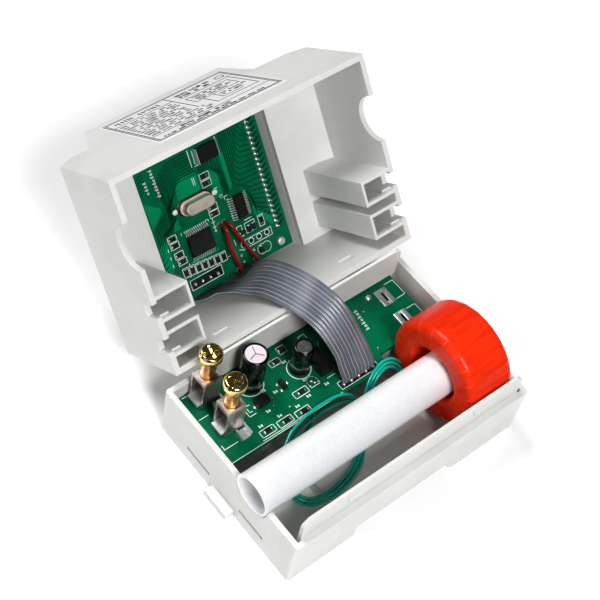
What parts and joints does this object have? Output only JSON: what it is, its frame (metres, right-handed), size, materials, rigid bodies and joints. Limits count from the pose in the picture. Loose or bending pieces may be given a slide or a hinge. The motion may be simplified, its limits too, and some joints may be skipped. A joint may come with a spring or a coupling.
{
  "type": "din rail energy meter",
  "caption": "Rail-mount energy meter opened up: base with ring transformer and screw terminals, and its cover with the display board on a ribbon.",
  "frame": {"origin": "middle of the rail slot on the back face of the base", "axes": "+X along the housing, away from the latch; +Y along the rail, towards the cover; +Z out of the back face, towards the open rim"},
  "size_m": [0.095, 0.1343, 0.0776],
  "materials": {
    "housing_plastic": "moulded, fine satin grain",
    "latch_plastic": "moulded, satin",
    "tube_plastic": "extruded, slightly glossy",
    "ring_tape": "wound adhesive film",
    "board_green": "green solder mask",
    "can_sleeve": "shrink sleeve with aluminium top",
    "moulded_black": "moulded epoxy",
    "chip_black": "small chip",
    "ribbon_grey": "flat cable insulation",
    "lead_teal": "wire insulation",
    "cage_steel": "bright nickel plate",
    "bar_tin": "tinned",
    "screw_brass": "turned and plated",
    "clear_pane": "clear, polished",
    "display_glass": "display glass",
    "light_white": "light guide",
    "pin_tin": "tinned",
    "crystal_steel": "plated can",
    "screw_steel": "plated",
    "wire_red": "wire insulation",
    "label_white": "printed film"
  },
  "bodies": {
    "meter": {"backlight": "light_white", "backlight_wire_left": "wire_red", "backlight_wire_right": "wire_red", "base_housing": "housing_plastic", "board_screw": "screw_steel", "bridge_rectifier": "moulded_black", "cable_guide_tube": "tube_plastic", "capacitor_large": "can_sleeve", "capacitor_small": "can_sleeve", "cover_housing": "housing_plastic", "crystal": "crystal_steel", "ct_lead": "lead_teal", "ct_lead_loops": "lead_teal", "current_transformer": "ring_tape", "display_board": "board_green", "display_board_chips": "chip_black", "lcd_panel": "display_glass", "lcd_pins": "pin_tin", "lcd_window": "clear_pane", "memory_chip": "moulded_black", "metering_chip": "moulded_black", "microcontroller": "moulded_black", "power_board": "board_green", "power_board_chips": "chip_black", "power_board_semiconductors": "moulded_black", "rating_label": "label_white", "ribbon_cable": "ribbon_grey", "ribbon_header": "moulded_black", "terminal_bar_far": "bar_tin", "terminal_bar_near": "bar_tin", "terminal_cage_far": "cage_steel", "terminal_cage_near": "cage_steel"},
    "latch": {"din_latch": "latch_plastic"},
    "screw_near": {"terminal_screw_near": "screw_brass"},
    "screw_far": {"terminal_screw_far": "screw_brass"}
  },
  "joints": [
    {"name": "latch_slide", "type": "slide", "parent": "meter", "child": "latch", "axis": [-1, 0, 0], "range_m": [0, 0.004], "stiffness_N_per_m": 1200, "springref_m": -0.001},
    {"name": "screw_near_travel", "type": "slide", "parent": "meter", "child": "screw_near", "axis": [0, 0, -1], "range_m": [0, 0.0085]},
    {"name": "screw_far_travel", "type": "slide", "parent": "meter", "child": "screw_far", "axis": [0, 0, -1], "range_m": [0, 0.0085]}
  ]
}
